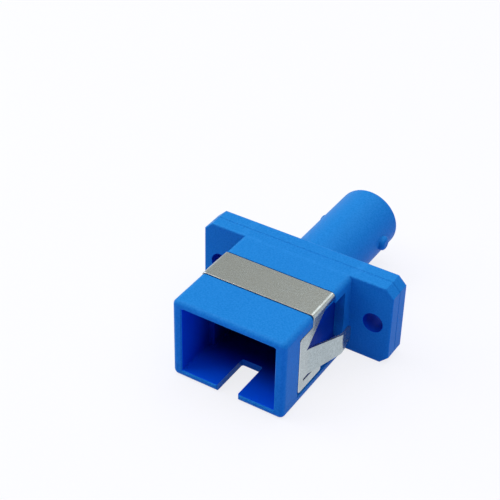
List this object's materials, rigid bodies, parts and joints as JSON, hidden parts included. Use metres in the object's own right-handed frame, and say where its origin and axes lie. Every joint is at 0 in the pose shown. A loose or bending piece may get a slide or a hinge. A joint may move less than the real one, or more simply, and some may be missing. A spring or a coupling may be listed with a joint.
{
  "type": "hybrid fibre adapter",
  "caption": "Flanged bulkhead adapter for fibre plugs: a square push-pull socket with a spring panel clip on one side, a round bayonet barrel on the other.",
  "frame": {"origin": "midway between the two screw holes, on the face of the flange that meets the panel", "axes": "+X along the flange, +Y along the light path from the square socket to the barrel, +Z away from the side with the key slots"},
  "size_m": [0.022, 0.0287, 0.0094],
  "materials": {
    "housing_plastic": "blue moulded polyester with a fine satin texture",
    "clip_steel": "bead-dulled stainless spring steel",
    "insert_plastic": "dark blue moulded polyester, satin",
    "sleeve_ceramic": "ground white zirconia"
  },
  "bodies": {
    "root": {"socket_housing": "housing_plastic", "barrel_housing": "housing_plastic", "panel_clip": "clip_steel", "latch_insert": "insert_plastic", "alignment_sleeve": "sleeve_ceramic"}
  },
  "joints": []
}
